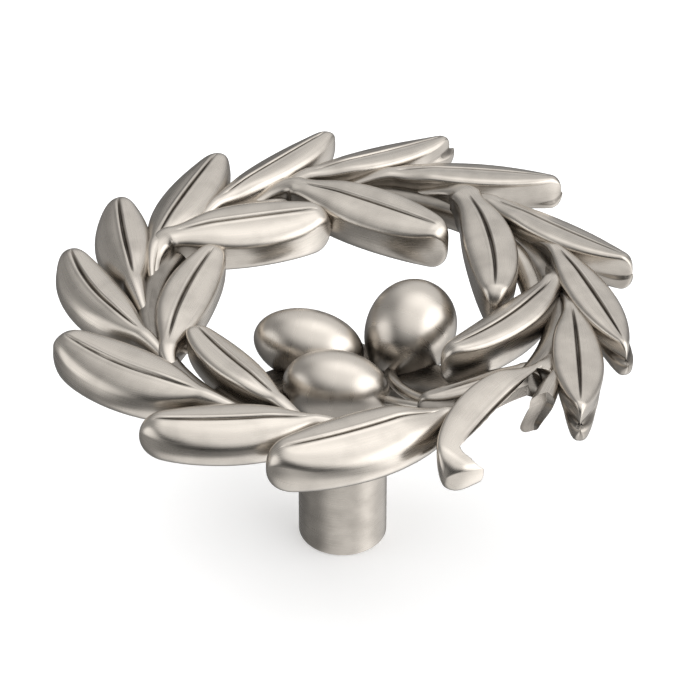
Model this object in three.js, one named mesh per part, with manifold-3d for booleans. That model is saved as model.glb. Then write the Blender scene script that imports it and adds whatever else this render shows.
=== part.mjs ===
// Laurel wreath cabinet knob with three olives, one cast piece. Millimetres, +Z up.
// The foot of the post stands on z = 0 and the post axis is the Z axis.
// Leaves grow clockwise round the branch, seen from above.
import * as THREE from 'three';
import Module from 'manifold-3d';
import { ConvexGeometry } from 'three/addons/geometries/ConvexGeometry.js';
import { mergeVertices } from 'three/addons/utils/BufferGeometryUtils.js';

const wasm = await Module();
wasm.setup();

// Post
const POST_RADIUS = 5;
const POST_TOP = 22.9;
const POST_EDGE = 0.35;
const POST_SIDES = 36;
const NECK_RADIUS = 2;
const NECK_TOP = 25.2;
const SCREW_BORE_RADIUS = 1.7;
const SCREW_BORE_DEPTH = 12;
const SCREW_BORE_CONE = 1;

// Branch
const RING_RADIUS = 22.2;
const RING_SHIFT_X = 1.2;
const RING_SHIFT_Y = -1.5;
const BRANCH_WIDTH = 3;
const BRANCH_STEPS = 48;
const BRANCH_CREST = 33.7;
const UNDERSIDE = 29.8;

// Leaf section: the face rounds into the wall within the crown's height, then the wall flares
const GROOVE_DEPTH = 0.45;
const GROOVE_HALF = 0.38;
const GROOVE_FROM = 0.1;
const GROOVE_TO = 0.9;
const GROOVE_FADE = 0.1;
const LEAF_STATIONS = 9;
const STEM_STATIONS = 2;
const STEM_START_HALF = 0.45;
const STEM_DROP = 2.1;
const BASE_DROP = 0.45;
const STEM_FADE = 0.3;
const LIP_FROM = 0.8;
const LEAF_BASE_POWER = 0.7;
const LEAF_TIP_POWER = 0.56;
const LEAF_DEPTH_POWER = 0.2;

// Two arms rise from the post to the front of the branch, hidden under the olives
const ARM_WIDTH = 6.2;
const ARM_POST_LOW = 21.6;
const ARM_POST_TOP = 25.9;
const ARM_POST_RADIUS = 3;
const ARM_END_LOW = 30;
const ARM_END_TOP = 31.7;
const ARM_ENDS = [{ at: -42, set: -1.6 }, { at: -131, set: -1.4 }];

// Leaves: at = place on the branch in degrees, set = start out from the branch line,
// reach = length, width = full width, splay = turn out of the branch direction in degrees,
// bow = sideways swing, roll = fall towards the outside in degrees, from/to = crest heights,
// stem = degrees back along the branch to the stem's start, stemHalf = half its width at the blade,
// crown = height of the rounding, blunt = power that rounds the tip's depth, lip = low lobe past the tip.
const LEAVES = [
  { at: -64, set: -0.3, reach: 20.6, width: 7.2, splay: 0, bow: 1, roll: 4, from: 35.3, to: 35.7,
    stem: 9, stemHalf: 1, crown: 2.1, blunt: 0.32 },
  { at: -101, set: 0, reach: 18.2, width: 7, splay: 13, bow: 0.4, roll: 10, from: 34.9, to: 34.7,
    stem: 16, stemHalf: 1.1, crown: 2.1, blunt: 0.32 },
  { at: -132, set: 1.6, reach: 19, width: 7.8, splay: 10, bow: 0.6, roll: 4, from: 35.3, to: 35.9,
    stem: 18, stemHalf: 1.2, crown: 2.1, blunt: 0.32 },
  { at: -164, set: 1.3, reach: 18.5, width: 6.5, splay: 13, bow: 1.2, roll: 5, from: 34.7, to: 35.1,
    stem: 17, stemHalf: 1.3, crown: 2, blunt: 0.3 },
  { at: 172, set: 2, reach: 17, width: 5.8, splay: 17, bow: 0.3, roll: 13, from: 34.7, to: 34.9,
    stem: 17, stemHalf: 1.4, crown: 2, blunt: 0.3 },
  { at: 156, set: 2, reach: 20.2, width: 6.2, splay: 5, bow: 0.3, roll: 11, from: 35.1, to: 34.9,
    stem: 15, stemHalf: 1.1, crown: 1.8, blunt: 0.28 },
  { at: 130, set: 1.5, reach: 19.8, width: 5.6, splay: 9, bow: 0, roll: 17, from: 34.9, to: 35.1,
    stem: 17, stemHalf: 1, crown: 1.6, blunt: 0.26 },
  { at: 102, set: 1.8, reach: 18.2, width: 5.8, splay: 15, bow: -0.4, roll: 15, from: 35.1, to: 35.1,
    stem: 17, stemHalf: 1, crown: 1.2, lip: 0.9 },
  { at: 80, set: 1.6, reach: 19.6, width: 6.4, splay: 9, bow: 0.5, roll: 16, from: 35.1, to: 34.7,
    stem: 17, stemHalf: 1, crown: 1, lip: 0.5 },
  { at: 49, set: 1.5, reach: 18.8, width: 6.2, splay: 5, bow: -0.4, roll: 18, from: 35.1, to: 35.3,
    stem: 17, stemHalf: 1, crown: 1, lip: 0.5 },
  { at: 21, set: 1.7, reach: 18.9, width: 5.4, splay: 0, bow: 0.3, roll: 11, from: 35.3, to: 35.9,
    stem: 17, stemHalf: 1, crown: 1, lip: 0.8 },
  { at: -4, set: 1.4, reach: 19, width: 5.6, splay: 4, bow: 0.2, roll: 8, from: 34.7, to: 35.3,
    stem: 17, stemHalf: 1, crown: 1, lip: 0.8 },
  { at: -115, set: -3, reach: 15.6, width: 5.4, splay: -28, bow: 0.4, roll: -14, from: 34.3, to: 34.5,
    stem: 17, stemHalf: 0.9, crown: 1.2 },
  { at: -157, set: -0.6, reach: 18.6, width: 5.7, splay: -39, bow: 0.8, roll: -8, from: 34.5, to: 34.9,
    stem: 14, stemHalf: 1.1, crown: 1.5 },
  { at: 152, set: 0.8, reach: 18.3, width: 7.4, splay: -48, bow: 0.1, roll: -5, from: 35.5, to: 35.3,
    stem: 15, stemHalf: 1.4, crown: 1.8 },
  { at: 107, set: -0.4, reach: 19.6, width: 6.6, splay: -48, bow: 0.2, roll: -7, from: 35.3, to: 35.5,
    stem: 15, stemHalf: 1.3, crown: 1.3 },
  { at: 56, set: 0.4, reach: 20.4, width: 5.8, splay: -49, bow: 1.2, roll: -2, from: 35.5, to: 35.5,
    stem: 14, stemHalf: 1.3, crown: 1.2 },
  { at: 8, set: -0.2, reach: 18, width: 5, splay: -50, bow: 1.4, roll: -10, from: 34.9, to: 35.1,
    stem: 15, stemHalf: 1, crown: 1.2 },
  { at: -31, set: -1.2, reach: 12.4, width: 3.2, splay: -35, bow: 0.4, roll: -8, from: 33.4, to: 32.8,
    stem: 14, stemHalf: 0.8, crown: 0.9 },
];

// The broken leaf: its outer half is gone between the two shares of its length, and the break
// leans in under the face. The stub is what is left of its neighbour.
const BROKEN_LEAF = {
  at: -31, set: 1.3, reach: 20.2, width: 8.2, splay: -1.5, bow: 0, roll: 2, from: 34.9, to: 34.7,
  stem: 15, stemHalf: 1.1, crown: 1.2,
};
const BREAK_FROM = 0.02;
const BREAK_TO = 0.865;
const BREAK_SKEW = 0.13;
const SPUR_SHORT = 0.03;
const SPUR_SKEW = 0.05;
const BREAK_UNDERCUT = 3.26;
const BREAK_STEP_Z = 33;
const STUB_LEAF = {
  at: -29, set: 2.7, reach: 12.6, width: 2.3, splay: 9, bow: 0, roll: 0, from: 34.3, to: 34.3,
  stem: 12, stemHalf: 0.8, crown: 0.8,
};
const STUB_LEFT = 0.47;
const STUB_SKEW = 0.08;
const STUB_FOOT = 0.1;
const STUB_FOOT_Z = 31.4;
// How far a cutting block runs past what it cuts.
const BEYOND = 3;
const BESIDE_BREAK = [LEAVES[0], LEAVES[18]];

const OLIVE_SIDES = 16;
const OLIVE_STEPS = 10;
const STALK_SIDES = 6;
const STALK_STEPS = 9;
const MERGE_WITHIN = 1e-4;
const OVERLAP = 0.01;

// Olives: middle point, full length, full girth, egg = fuller towards +x end, turn and lift in degrees.
const OLIVES = [
  { x: -3.7, y: -4.4, z: 29.4, reach: 12.2, girth: 8, egg: 0.02, turn: -10, lift: -10 },
  { x: 7.3, y: -2.1, z: 29.7, reach: 11.8, girth: 9.8, egg: 0.06, turn: 62, lift: 30 },
  { x: -0.7, y: -11.9, z: 29.5, reach: 11.6, girth: 8, egg: 0.02, turn: 174, lift: 6 },
];

// Stalks and small ties: points passed through and thickness.
const STALKS = [
  {
    thick: 1.5,
    path: [[5.1, -5.9, 27.1], [4.7, -9.1, 28.1], [5.2, -12.1, 29.1], [6.5, -14.4, 29.8], [9, -16.9, 30.5],
      [11.8, -18.7, 31.3], [15, -18.5, 32.3]],
  },
  { thick: 1.5, path: [[3, -12.5, 28.9], [5, -13.9, 29], [7.2, -15.7, 29.8], [9.8, -17.5, 30.6]] },
  { thick: 2.8, path: [[16.7, 12.1, 32.1], [19.3, 8.3, 32.1], [20.7, 3.9, 31.7], [21.2, -0.9, 31.7]] },
  { thick: 1.5, path: [[-20.8, -7.1, 31.7], [-17.8, -7.3, 31.7], [-15.4, -8.3, 31.7]] },
];

const radians = (degrees) => (degrees * Math.PI) / 180;

function ringPoint(at, set) {
  const r = RING_RADIUS + set;
  return new THREE.Vector2(
    RING_SHIFT_X + r * Math.cos(radians(at)),
    RING_SHIFT_Y + r * Math.sin(radians(at)),
  );
}

function closedGeometry(rings, startPole, endPole) {
  const positions = [];
  const index = [];
  const around = rings[0].length;
  for (const ring of rings) for (const p of ring) positions.push(p.x, p.y, p.z);
  for (let i = 0; i + 1 < rings.length; i += 1) {
    for (let j = 0; j < around; j += 1) {
      const a = i * around + j;
      const b = i * around + ((j + 1) % around);
      const c = a + around;
      const d = b + around;
      index.push(a, b, d, a, d, c);
    }
  }
  const start = positions.length / 3;
  positions.push(startPole.x, startPole.y, startPole.z, endPole.x, endPole.y, endPole.z);
  const last = (rings.length - 1) * around;
  for (let j = 0; j < around; j += 1) {
    const k = (j + 1) % around;
    index.push(start, k, j, start + 1, last + j, last + k);
  }
  const geometry = new THREE.BufferGeometry();
  geometry.setAttribute('position', new THREE.Float32BufferAttribute(positions, 3));
  geometry.setIndex(index);
  return geometry;
}

// Turns every face outward by the sign of the enclosed volume.
function outward(geometry) {
  const at = geometry.attributes.position;
  const index = Array.from(geometry.index.array);
  const [a, b, c] = [new THREE.Vector3(), new THREE.Vector3(), new THREE.Vector3()];
  let volume = 0;
  for (let i = 0; i < index.length; i += 3) {
    a.fromBufferAttribute(at, index[i]);
    b.fromBufferAttribute(at, index[i + 1]);
    c.fromBufferAttribute(at, index[i + 2]);
    volume += a.dot(b.cross(c));
  }
  if (volume < 0) geometry.setIndex(index.reverse());
  return geometry;
}

function toManifold(geometry) {
  const bare = geometry.clone();
  for (const name of Object.keys(bare.attributes)) {
    if (name !== 'position') bare.deleteAttribute(name);
  }
  const merged = outward(mergeVertices(bare, MERGE_WITHIN));
  const source = new wasm.Mesh({
    numProp: 3,
    vertProperties: new Float32Array(merged.attributes.position.array),
    triVerts: new Uint32Array(merged.index.array),
  });
  return new wasm.Manifold(source);
}

function hullOf(points) {
  return toManifold(new ConvexGeometry(points.map((p) => new THREE.Vector3(...p))));
}

function toGeometry(solid) {
  const mesh = solid.getMesh();
  const geometry = new THREE.BufferGeometry();
  geometry.setAttribute('position', new THREE.Float32BufferAttribute(mesh.vertProperties, 3));
  geometry.setIndex(Array.from(mesh.triVerts));
  return geometry;
}

const fullness = (s, power) => Math.max(0, 1 - (2 * s - 1) ** 2) ** power;

// One ring of a leaf: x to the outside, z up from the crest, and how much of the roll it takes.
function leafSection(half, depth, crown, groove) {
  const lip = Math.min(GROOVE_HALF, 0.3 * half);
  const wall = depth - crown;
  const right = [
    [lip, 0, 1],
    [0.6 * half, -0.15 * crown, 1],
    [0.8 * half, -0.5 * crown, 1],
    [0.89 * half, -crown - 0.05 * wall, 0.9],
    [half, -crown - 0.7 * wall, 0.3],
    [0.86 * half, -0.97 * depth, 0.1],
  ];
  const left = right.map(([x, z, share]) => [-x, z, share]).reverse();
  return [[0, -groove, 1], ...right, [0, -depth, 0], ...left];
}

// The blade's base point, its direction and its outward side, in plan.
function bladeFrame(leaf) {
  const heading = radians(leaf.at - 90 + leaf.splay);
  const along = new THREE.Vector2(Math.cos(heading), Math.sin(heading));
  return { base: ringPoint(leaf.at, leaf.set), along, out: new THREE.Vector2(-along.y, along.x) };
}

// The blade's middle line: straight along its heading, swung sideways by a parabola.
function bladeLine(leaf, s) {
  const { base, along, out } = bladeFrame(leaf);
  const swing = leaf.bow * 4 * s * (1 - s);
  const slope = (leaf.bow * 4 * (1 - 2 * s)) / leaf.reach;
  return {
    centre: base.addScaledVector(along, s * leaf.reach).addScaledVector(out, swing),
    ahead: along.addScaledVector(out, slope).normalize(),
  };
}

// The stem: a quadratic curve from the branch that meets the blade in its own direction.
function stemLine(leaf, q) {
  const { centre: last, ahead: aim } = bladeLine(leaf, 0);
  const first = ringPoint(leaf.at + leaf.stem, 0);
  const middle = last.clone().addScaledVector(aim, -last.distanceTo(first) / 2);
  const curve = new THREE.QuadraticBezierCurve(first, middle, last);
  return { centre: curve.getPoint(q), ahead: curve.getTangent(q) };
}

function leafGeometry(leaf) {
  const tilt = Math.tan(radians(leaf.roll));
  const rings = [];
  const ring = ({ centre, ahead }, half, top, depth, crown, groove, roll, lip) => {
    const section = leafSection(half, depth, crown, groove);
    rings.push(section.map(([x, z, share]) => new THREE.Vector3(
      centre.x - ahead.y * x + ahead.x * lip * (1 - share),
      centre.y + ahead.x * x + ahead.y * lip * (1 - share),
      top + z - x * roll * share,
    )));
  };
  for (let i = 0; i < STEM_STATIONS; i += 1) {
    const q = i / STEM_STATIONS;
    const half = STEM_START_HALF + (leaf.stemHalf - STEM_START_HALF) * q;
    const top = leaf.from - BASE_DROP - STEM_DROP * (1 - q) ** 1.5;
    ring(stemLine(leaf, q), half, top, top - UNDERSIDE, 0.5 * leaf.crown, 0, 0, 0);
  }
  for (let i = 0; i < LEAF_STATIONS; i += 1) {
    const s = Math.sin((Math.PI * i) / (2 * LEAF_STATIONS));
    const blade = (leaf.width / 2) * fullness(s, s < 0.5 ? LEAF_BASE_POWER : LEAF_TIP_POWER);
    const half = Math.hypot(blade, leaf.stemHalf * Math.max(0, 1 - s / STEM_FADE) ** 1.5);
    const crest = leaf.from + (leaf.to - leaf.from) * s - BASE_DROP * Math.max(0, 1 - s / STEM_FADE);
    const tall = crest - UNDERSIDE;
    const blunt = s < 0.5 ? 1 : fullness(s, leaf.blunt ?? LEAF_DEPTH_POWER);
    const top = crest - 0.5 * tall * (1 - blunt);
    const open = Math.min(s - GROOVE_FROM, GROOVE_TO - s) / GROOVE_FADE;
    const fade = Math.min(1, Math.max(0, open));
    const wide = Math.min(1, half / (0.4 * leaf.width));
    const crown = leaf.crown * blunt * (0.45 + 0.55 * wide);
    const lip = (leaf.lip ?? 0) * Math.max(0, (s - LIP_FROM) / (1 - LIP_FROM));
    ring(bladeLine(leaf, s), half, top, tall * blunt, crown, GROOVE_DEPTH * fade, tilt, lip);
  }
  const tip = bladeLine(leaf, 1).centre;
  const start = stemLine(leaf, 0).centre;
  const tipMiddle = leaf.to - 0.5 * (leaf.to - UNDERSIDE);
  return closedGeometry(
    rings,
    new THREE.Vector3(start.x, start.y, leaf.from - BASE_DROP - STEM_DROP - 1),
    new THREE.Vector3(tip.x, tip.y, tipMiddle),
  );
}

// The branch: one section with a rounded top, carried round the whole ring.
function branchGeometry() {
  const tall = BRANCH_CREST - UNDERSIDE;
  const half = BRANCH_WIDTH / 2;
  const section = [
    [0, 0], [0.75 * half, -0.12 * tall], [half, -0.5 * tall], [0.8 * half, -0.95 * tall],
    [0, -tall], [-0.8 * half, -0.95 * tall], [-half, -0.5 * tall], [-0.75 * half, -0.12 * tall],
  ];
  const positions = [];
  const index = [];
  const count = section.length;
  for (let i = 0; i < BRANCH_STEPS; i += 1) {
    const at = (360 * i) / BRANCH_STEPS;
    for (const [x, z] of section) {
      const p = ringPoint(at, x);
      positions.push(p.x, p.y, BRANCH_CREST + z);
    }
    for (let j = 0; j < count; j += 1) {
      const a = i * count + j;
      const b = i * count + ((j + 1) % count);
      const c = ((i + 1) % BRANCH_STEPS) * count + j;
      const d = ((i + 1) % BRANCH_STEPS) * count + ((j + 1) % count);
      index.push(a, d, b, a, c, d);
    }
  }
  const geometry = new THREE.BufferGeometry();
  geometry.setAttribute('position', new THREE.Float32BufferAttribute(positions, 3));
  geometry.setIndex(index);
  return geometry;
}

function postGeometry() {
  const e = POST_EDGE;
  const profile = [
    [0, SCREW_BORE_DEPTH + SCREW_BORE_CONE],
    [SCREW_BORE_RADIUS, SCREW_BORE_DEPTH],
    [SCREW_BORE_RADIUS, 0],
    [POST_RADIUS - e, 0],
    [POST_RADIUS, e],
    [POST_RADIUS, POST_TOP],
    [NECK_RADIUS, NECK_TOP],
    [0, NECK_TOP],
  ].map(([r, z]) => new THREE.Vector2(r, z));
  return new THREE.LatheGeometry(profile, POST_SIDES).rotateX(Math.PI / 2);
}

// Hull of a low block in the post and a thinner block in the branch, edges cut back.
function armSolid(end) {
  const tip = ringPoint(end.at, end.set);
  const along = tip.clone().normalize();
  const across = new THREE.Vector2(-along.y, along.x);
  const block = (reach, low, top) => {
    const points = [];
    const mid = (low + top) / 2;
    const full = ARM_WIDTH / 2;
    for (const [wide, z] of [[0.7, low], [1, mid], [0.7, top]]) {
      for (const sign of [-1, 1]) {
        const p = along.clone().multiplyScalar(reach).addScaledVector(across, sign * wide * full);
        points.push([p.x, p.y, z]);
      }
    }
    return points;
  };
  return hullOf([
    ...block(0, ARM_POST_LOW, ARM_POST_TOP),
    ...block(ARM_POST_RADIUS, ARM_POST_LOW, ARM_POST_TOP),
    ...block(tip.length(), ARM_END_LOW, ARM_END_TOP),
  ]);
}

function oliveGeometry(olive) {
  const body = new THREE.SphereGeometry(1, OLIVE_SIDES, OLIVE_STEPS).rotateZ(-Math.PI / 2);
  const position = body.attributes.position;
  for (let i = 0; i < position.count; i += 1) {
    const x = position.getX(i);
    const girth = (olive.girth / 2) * (1 + olive.egg * x);
    position.setXYZ(i, (x * olive.reach) / 2, position.getY(i) * girth, position.getZ(i) * girth);
  }
  return body
    .rotateY(-radians(olive.lift))
    .rotateZ(radians(olive.turn))
    .translate(olive.x, olive.y, olive.z);
}

function stalkGeometry(stalk) {
  const curve = new THREE.CatmullRomCurve3(stalk.path.map((p) => new THREE.Vector3(...p)));
  const ring = new THREE.Shape();
  for (let i = 0; i < STALK_SIDES; i += 1) {
    const a = (2 * Math.PI * i) / STALK_SIDES;
    const x = (stalk.thick / 2) * Math.cos(a);
    const y = (stalk.thick / 2) * Math.sin(a);
    if (i === 0) ring.moveTo(x, y);
    else ring.lineTo(x, y);
  }
  ring.closePath();
  return new THREE.ExtrudeGeometry(ring, { steps: STALK_STEPS, extrudePath: curve, bevelEnabled: false });
}

// A point of a leaf's plan: share of its length and distance inward from its midrib.
function leafPoint(leaf, share, inward, z) {
  const start = ringPoint(leaf.at, leaf.set);
  const heading = radians(leaf.at - 90 + leaf.splay);
  const x = start.x + Math.cos(heading) * share * leaf.reach + Math.sin(heading) * inward;
  const y = start.y + Math.sin(heading) * share * leaf.reach - Math.cos(heading) * inward;
  return [x, y, z];
}

// What has broken away beside the midrib: an upper and a lower block with one leaning face.
function breakSolid() {
  const leaf = BROKEN_LEAF;
  const under = (z) => (BREAK_UNDERCUT * (leaf.from - z)) / (leaf.from - UNDERSIDE);
  const block = (low, high, end, skew) => hullOf([low, high].flatMap((z) => [
    leafPoint(leaf, BREAK_FROM, under(z), z),
    leafPoint(leaf, end, under(z), z),
    leafPoint(leaf, end + skew, -leaf.width, z),
    leafPoint(leaf, -BREAK_SKEW, -leaf.width, z),
  ]));
  const upper = block(BREAK_STEP_Z, leaf.from + BEYOND, BREAK_TO, BREAK_SKEW);
  const lower = block(UNDERSIDE - BEYOND, BREAK_STEP_Z + OVERLAP, BREAK_TO - SPUR_SHORT, SPUR_SKEW);
  return upper.add(lower);
}

// What has broken away past the stub: an upper and a lower block, which leave a foot lower down.
function stubEnd() {
  const leaf = STUB_LEAF;
  const wide = leaf.width;
  const block = (low, high, share) => hullOf([low, high].flatMap((z) => [
    leafPoint(leaf, share - STUB_SKEW, -wide, z),
    leafPoint(leaf, share + STUB_SKEW, wide, z),
    leafPoint(leaf, 1 + STUB_SKEW, wide, z),
    leafPoint(leaf, 1 + STUB_SKEW, -wide, z),
  ]));
  const upper = block(STUB_FOOT_Z, leaf.from + BEYOND, STUB_LEFT);
  return upper.add(block(UNDERSIDE - BEYOND, STUB_FOOT_Z + OVERLAP, STUB_LEFT + STUB_FOOT));
}

const nickel = new THREE.MeshStandardMaterial({ color: 0xb8b0a6, metalness: 1, roughness: 0.35 });

const union = (solids) => solids.reduce((whole, piece) => whole.add(piece));

function knobSolid() {
  const pieces = [
    postGeometry(),
    ...LEAVES.filter((leaf) => !BESIDE_BREAK.includes(leaf)).map(leafGeometry),
    ...OLIVES.map(oliveGeometry),
    ...STALKS.map(stalkGeometry),
  ];
  const beside = [branchGeometry(), ...[BROKEN_LEAF, ...BESIDE_BREAK].map(leafGeometry)];
  const broken = union(beside.map(toManifold)).subtract(breakSolid());
  const stub = toManifold(leafGeometry(STUB_LEAF)).subtract(stubEnd());
  const solids = [broken, stub, ...ARM_ENDS.map(armSolid), ...pieces.map(toManifold)];
  return union(solids);
}

const knob = new THREE.Mesh(toGeometry(knobSolid()), nickel);
knob.name = 'knob';

const part = new THREE.Group();
part.name = 'laurel_wreath_knob';
part.add(knob);

export default part;
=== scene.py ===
"""Looks of a laurel wreath cabinet knob: one casting with leaves, olives and a round post, satin nickel.

Every size is in millimetres, named as in the part's source, and turned to metres as a mesh is made.
"""

import logging
import math
from dataclasses import dataclass, field
from enum import Enum
from typing import Any

import bpy
import numpy as np
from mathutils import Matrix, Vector


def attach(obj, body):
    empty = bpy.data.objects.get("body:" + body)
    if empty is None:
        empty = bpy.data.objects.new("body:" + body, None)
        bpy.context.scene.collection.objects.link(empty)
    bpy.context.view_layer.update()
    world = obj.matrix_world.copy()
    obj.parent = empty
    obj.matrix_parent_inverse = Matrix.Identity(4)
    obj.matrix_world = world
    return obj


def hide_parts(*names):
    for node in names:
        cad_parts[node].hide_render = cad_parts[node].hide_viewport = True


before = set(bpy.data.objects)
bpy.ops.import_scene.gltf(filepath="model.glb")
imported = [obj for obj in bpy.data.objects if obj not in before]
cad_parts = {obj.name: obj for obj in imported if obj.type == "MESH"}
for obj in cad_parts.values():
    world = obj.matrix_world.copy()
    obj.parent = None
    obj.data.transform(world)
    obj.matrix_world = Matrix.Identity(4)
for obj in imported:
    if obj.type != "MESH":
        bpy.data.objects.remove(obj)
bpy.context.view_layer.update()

LOG = logging.getLogger("knob")
MM = 0.001
TAU = 2 * math.pi
TINY = 1e-3  # keeps a division off nought
OUT_OF_REACH = 50.0  # mm, farther out than any leaf goes
NODE = "knob"
BODY = "root"

Array = np.ndarray

# Helpers for numbers and meshes


def linear(hex_colour: str) -> tuple[float, float, float, float]:
    """Turns an sRGB hex colour into linear light.

    Args:
        hex_colour: six hex digits, with or without a leading hash.

    Returns:
        Linear red, green and blue, and an alpha of one.
    """
    digits = hex_colour.lstrip("#")
    srgb = [int(digits[i : i + 2], 16) / 255 for i in (0, 2, 4)]
    # The sRGB standard's curve: a straight toe, then a power with an offset.
    light = [c / 12.92 if c <= 0.04045 else ((c + 0.055) / 1.055) ** 2.4 for c in srgb]
    return (light[0], light[1], light[2], 1.0)


def fullness(s: Array, power: float) -> Array:
    """A hump over 0 to 1: one less the square of the way from the middle, raised to a power."""
    return np.clip(1 - (2 * s - 1) ** 2, 0, 1) ** power


def smooth(x: Array, low: float, high: float) -> Array:
    """A soft step from 0 at low to 1 at high: three x squared less two x cubed."""
    t = np.clip((x - low) / (high - low), 0, 1)
    return t * t * (3 - 2 * t)


def bell(x: Array, width: float) -> Array:
    """A bell of height one: e to the minus of x over width, squared."""
    return np.exp(-((x / width) ** 2))


def signed_power(x: Array, power: Array | float) -> Array:
    """A value's size to a power, with its own sign: it squares off or pinches a circle's cosine and sine."""
    return np.sign(x) * np.abs(x) ** power


def uv_grid(u: Array, v: Array) -> Array:
    """Two ways over a grid, one down its rows and one across, as a UV pair for each point."""
    return np.stack(np.broadcast_arrays(u, v), axis=-1)


def unit(rows: Array) -> Array:
    """Each row brought to a length of one."""
    return rows / np.linalg.norm(rows, axis=1)[:, None]


def way(points: Array) -> Array:
    """The length gone along a line, at each of its points."""
    return np.cumsum(np.linalg.norm(np.diff(points, axis=0, prepend=points[:1]), axis=1))


def circle(count: int) -> Array:
    """Angles of a full turn, evenly spaced from nought, without the last."""
    return np.linspace(0, TAU, count, endpoint=False)


def even_ends(count: int) -> Array:
    """Stations from 0 to 1 that crowd towards both ends: half of one less the cosine."""
    return 0.5 - 0.5 * np.cos(np.linspace(0, math.pi, count))


def catmull(points: Array, count: int) -> Array:
    """A smooth curve through points: cubic pieces whose slope at a point is half the way between its neighbours.

    Args:
        points: the points passed through, one per row.
        count: how many points the curve gets.

    Returns:
        The curve's points, one per row.
    """
    padded = np.vstack([2 * points[0] - points[1], points, 2 * points[-1] - points[-2]])
    t = np.linspace(0, len(points) - 1, count)
    i = np.minimum(t.astype(int), len(points) - 2)
    u = (t - i)[:, None]
    a, b, c, d = (padded[i + k] for k in range(4))
    return 0.5 * (2 * b + (c - a) * u + (2 * a - 5 * b + 4 * c - d) * u**2 + (3 * b - a - 3 * c + d) * u**3)


@dataclass
class Skin:
    """A closed surface on a grid: rings of points, an end point at each end, and values on each point."""

    grid: Array
    uv: Array
    painted_shade: Array
    start: Array | None = None
    end: Array | None = None

    def build(self, name: str, material: bpy.types.Material) -> None:
        """Makes the mesh object and hands it to the frame.

        Args:
            name: the piece's name.
            material: the finish it wears.
        """
        rings, around = self.grid.shape[:2]
        verts = self.grid.reshape(-1, 3)
        uvs = self.uv.reshape(-1, 2)
        painted_shade = self.painted_shade.reshape(-1)
        row = np.arange(rings if self.start is None else rings - 1)[:, None]
        col = np.arange(around)[None, :]
        near, far = row * around, ((row + 1) % rings) * around
        step = (col + 1) % around
        quads = np.stack([near + col, near + step, far + step, far + col], axis=2).reshape(-1, 4)
        corner_uv = uvs[quads]
        wrap = np.broadcast_to(col == around - 1, (len(row), around)).reshape(-1)
        turn = self.uv[0, 1, 1] - self.uv[0, 0, 1]
        corner_uv[wrap, 1, 1] = corner_uv[wrap, 0, 1] + turn
        corner_uv[wrap, 2, 1] = corner_uv[wrap, 3, 1] + turn
        faces = quads.tolist()
        corners = [corner_uv.reshape(-1, 2)]
        if self.start is not None:
            verts = np.vstack([verts, self.start, self.end])
            painted_shade = np.concatenate([painted_shade, [painted_shade[0], painted_shade[-1]]])
            first, last = rings * around, (rings - 1) * around
            j = np.arange(around)
            k = (j + 1) % around
            caps = [
                np.stack([np.full(around, first), k, j], axis=1),
                np.stack([np.full(around, first + 1), last + j, last + k], axis=1),
            ]
            for cap, ring in zip(caps, (0, rings - 1)):
                faces += cap.tolist()
                corners.append(np.tile(self.uv[ring, 0], (3 * around, 1)))
        mesh = bpy.data.meshes.new(name)
        mesh.from_pydata((verts * MM).tolist(), [], faces)
        layer = mesh.uv_layers.new(name="run")
        if signed_volume(mesh) < 0:
            # A turned mesh takes its UV pairs from its points, and an end point takes the last one.
            mesh.flip_normals()
            points = np.zeros(len(mesh.loops), dtype=int)
            mesh.loops.foreach_get("vertex_index", points)
            layer.data.foreach_set("uv", uvs[np.minimum(points, len(uvs) - 1)].ravel())
        else:
            layer.data.foreach_set("uv", np.concatenate(corners).ravel())
        # Each point's painted shade, which the material mixes towards the dark colour.
        attribute = mesh.attributes.new("painted_shade", "FLOAT", "POINT")
        attribute.data.foreach_set("value", np.clip(painted_shade, 0, 1))
        mesh.polygons.foreach_set("use_smooth", np.ones(len(mesh.polygons), dtype=bool))
        mesh.materials.append(material)
        adopt(bpy.data.objects.new(name, mesh))


def signed_volume(mesh: bpy.types.Mesh) -> float:
    """The volume inside a mesh: a sixth of the sum over triangles of a dot b cross c."""
    mesh.calc_loop_triangles()
    corners = np.zeros(len(mesh.loop_triangles) * 3, dtype=int)
    mesh.loop_triangles.foreach_get("vertices", corners)
    points = np.zeros(len(mesh.vertices) * 3)
    mesh.vertices.foreach_get("co", points)
    a, b, c = points.reshape(-1, 3)[corners.reshape(-1, 3)].transpose(1, 0, 2)
    return float(np.einsum("ij,ij->", a, np.cross(b, c)) / 6)


def adopt(obj: bpy.types.Object) -> None:
    """Links a new piece, rides it on the root body and has it stand for the plain casting."""
    bpy.context.collection.objects.link(obj)
    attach(obj, BODY)
    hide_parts(NODE)
    LOG.info("%s: %d faces", obj.name, len(obj.data.polygons))


# Finishes


def add(tree: bpy.types.NodeTree, kind: str, settings: dict[str, Any], links: dict[str, Any]) -> bpy.types.Node:
    """Adds one node.

    Args:
        tree: the node tree that gets it.
        kind: the node's type name.
        settings: node properties by name, and plain values for its input sockets by label.
        links: output sockets that feed its input sockets, by label or number.

    Returns:
        The new node.
    """
    node = tree.nodes.new(kind)
    for name, value in settings.items():
        if hasattr(node, name):
            setattr(node, name, value)
        else:
            node.inputs[name].default_value = value
    for name, source in links.items():
        tree.links.new(source, node.inputs[name])
    return node


class Course(Enum):
    """How a node goes from one value to another: evenly, or with a soft start and end."""

    EVEN = "LINEAR"
    SOFT = "SMOOTHSTEP"


def rescale(tree: bpy.types.NodeTree, value: Any, span: tuple, ends: tuple, course: Course) -> Any:
    """Adds a node that turns one range of values into another.

    Args:
        tree: the node tree that gets it.
        value: the output socket that drives it.
        span: the driving values at which the range starts and ends.
        ends: what it gives there.
        course: how it goes between them.

    Returns:
        The output socket with its result.
    """
    limits = {"From Min": span[0], "From Max": span[1], "To Min": ends[0], "To Max": ends[1]}
    node = add(tree, "ShaderNodeMapRange", {"interpolation_type": course.value, **limits}, {"Value": value})
    return node.outputs["Result"]


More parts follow.
